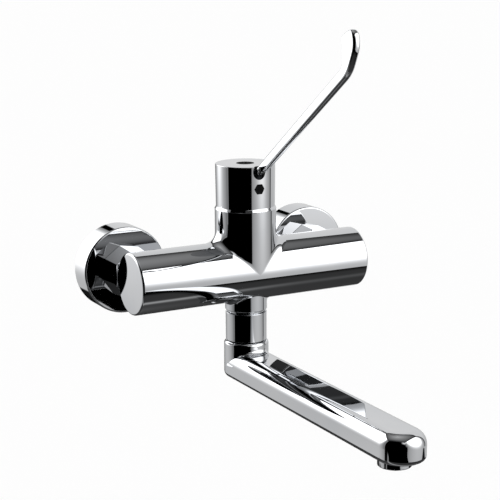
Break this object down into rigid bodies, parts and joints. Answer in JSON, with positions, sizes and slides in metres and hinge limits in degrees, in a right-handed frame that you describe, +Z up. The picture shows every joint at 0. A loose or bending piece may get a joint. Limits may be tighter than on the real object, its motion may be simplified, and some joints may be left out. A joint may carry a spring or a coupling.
{
  "type": "elbow lever tap",
  "caption": "Wall mixer tap with a long elbow lever on an upright handle, a round bar body between wall rosettes and a flat swivelling spout with an aerator.",
  "frame": {"origin": "on the wall plane, midway between the two wall inlets, at the height of the bar's axis", "axes": "+X right seen from the front, +Y into the wall, +Z up; spout and lever point to -Y"},
  "size_m": [0.2126, 0.286, 0.2608],
  "materials": {
    "chrome_plate": "polished chrome plate on cast metal",
    "raw_brass": "machined",
    "seal_rubber": "matte",
    "white_plastic": "moulded",
    "grey_plastic": "moulded",
    "black_plastic": "moulded",
    "disc_ceramic": "lapped",
    "steel": "machined"
  },
  "bodies": {
    "wall_body": {"mixer_body": "chrome_plate", "left_wall_union": "raw_brass", "right_wall_union": "raw_brass", "left_rosette": "chrome_plate", "right_rosette": "chrome_plate", "left_union_nut": "chrome_plate", "right_union_nut": "chrome_plate", "left_inlet_nipple": "raw_brass", "right_inlet_nipple": "raw_brass", "left_inlet_washer": "seal_rubber", "right_inlet_washer": "seal_rubber", "cartridge_base": "white_plastic", "cartridge_seals": "seal_rubber", "fixed_disc": "disc_ceramic", "cartridge_housing": "white_plastic", "cartridge_ring_nut": "raw_brass", "spout_collar_nut": "chrome_plate"},
    "rotor_body": {"cartridge_rotor": "grey_plastic", "stem_pin": "steel"},
    "lever_body": {"handle_cap": "chrome_plate", "lever_arm": "chrome_plate", "handle_grub_screw": "steel", "hexagon_plug": "black_plastic", "top_disc": "black_plastic", "cartridge_stem": "grey_plastic"},
    "disc_body": {"moving_disc": "disc_ceramic", "disc_carriage": "grey_plastic"},
    "spout_body": {"spout": "chrome_plate", "spout_o_rings": "seal_rubber", "spout_retaining_ring": "white_plastic", "slip_ring": "grey_plastic", "aerator_housing": "chrome_plate", "aerator_insert": "white_plastic", "aerator_seal": "seal_rubber"}
  },
  "joints": [
    {"name": "temperature_turn", "type": "hinge", "parent": "wall_body", "child": "rotor_body", "pos_m": [0, -0.06, 0.0303], "axis": [0, 0, 1], "range_deg": [-45, 45]},
    {"name": "flow_lift", "type": "hinge", "parent": "rotor_body", "child": "lever_body", "pos_m": [0, -0.06, 0.0303], "axis": [-1, 0, 0], "range_deg": [0, 22]},
    {"name": "disc_slide", "type": "slide", "parent": "rotor_body", "child": "disc_body", "axis": [0, -1, 0], "range_m": [0, 0.005]},
    {"name": "spout_swivel", "type": "hinge", "parent": "wall_body", "child": "spout_body", "pos_m": [0, -0.06, -0.05], "axis": [0, 0, 1], "range_deg": [-80, 80]}
  ],
  "couplings": [
    {"joint": "disc_slide", "follows": "flow_lift", "m_per_rad": 0.0128}
  ]
}
